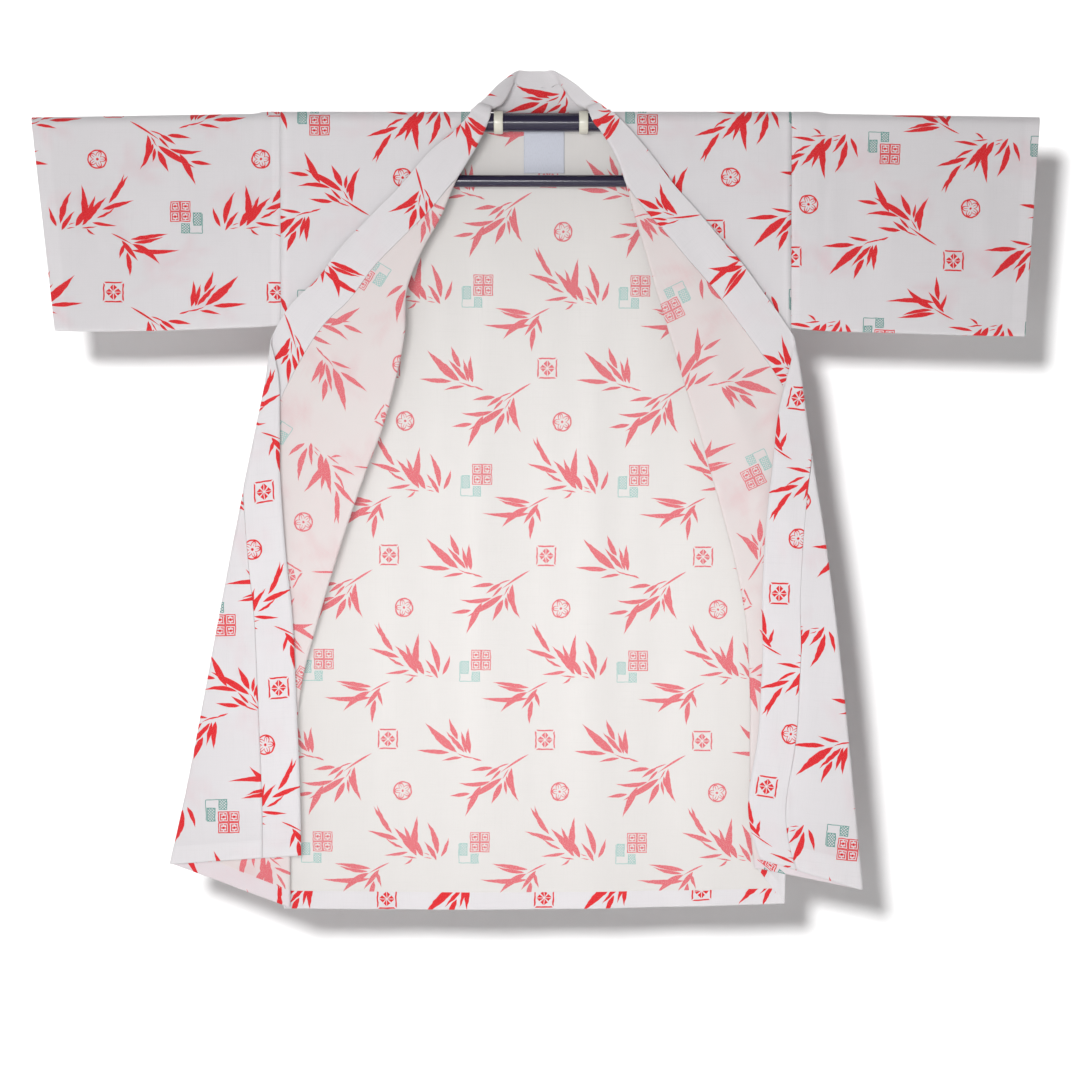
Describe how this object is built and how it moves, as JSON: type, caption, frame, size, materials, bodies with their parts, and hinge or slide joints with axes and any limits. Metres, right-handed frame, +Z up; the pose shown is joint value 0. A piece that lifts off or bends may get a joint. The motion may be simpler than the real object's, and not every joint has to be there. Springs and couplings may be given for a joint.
{
  "type": "short yukata on a straight pole hanger",
  "caption": "short cotton yukata hung wide open by its straight sleeves on a pole hanger, fronts folded back into long lapels",
  "frame": {"origin": "on the axis of the hanger's pole, midway between its two pale clamps, where the hanger is held", "axes": "+Z up, +X to the viewer's right along the pole, -Y towards the viewer, who sees the open front"},
  "size_m": [1.289, 0.0397, 1.0764],
  "materials": {
    "printed_cotton": "matt woven cotton, white with red leaf sprays and small red and green marks",
    "label_cloth": "plain satin ribbon",
    "navy_plastic": "smooth, glossy",
    "ivory_plastic": "smooth, half glossy"
  },
  "bodies": {
    "root": {"back": "printed_cotton", "front_left": "printed_cotton", "front_right": "printed_cotton", "sleeve_left": "printed_cotton", "sleeve_right": "printed_cotton", "collar": "printed_cotton", "care_label": "label_cloth", "hanger_pole": "navy_plastic", "hanger_bar": "navy_plastic", "hanger_arm_left": "navy_plastic", "hanger_arm_right": "navy_plastic", "hanger_link_left": "navy_plastic", "hanger_link_right": "navy_plastic", "hanger_clamp_left": "ivory_plastic", "hanger_clamp_right": "ivory_plastic"}
  },
  "joints": []
}
